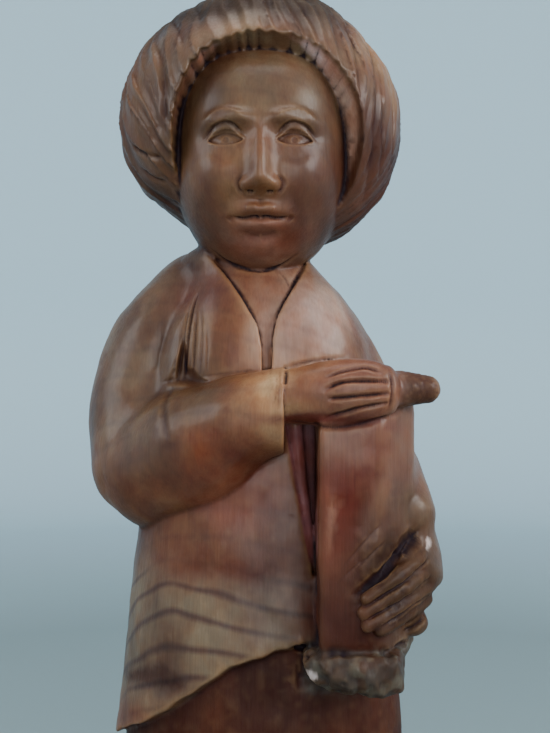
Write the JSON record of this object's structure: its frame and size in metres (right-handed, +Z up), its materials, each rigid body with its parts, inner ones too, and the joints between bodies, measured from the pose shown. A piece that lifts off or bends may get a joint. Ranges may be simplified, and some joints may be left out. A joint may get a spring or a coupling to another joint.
{
  "type": "carved santon figure",
  "caption": "Standing villager carved in wood, with a round bob of hair and an open long coat, holding a tall wrapped bundle, on a low base; a display figure",
  "frame": {"origin": "centre of the underside of the base", "axes": "+Z up, the figure faces -Y, and +X is towards the figure's own left hand"},
  "size_m": [0.107, 0.092, 0.3064],
  "materials": {
    "varnished_pine": "hand-carved resinous pine with broad growth rings, stained and varnished to a satin sheen, dark in the cuts"
  },
  "bodies": {
    "root": {"carved_figure": "varnished_pine"}
  },
  "joints": []
}
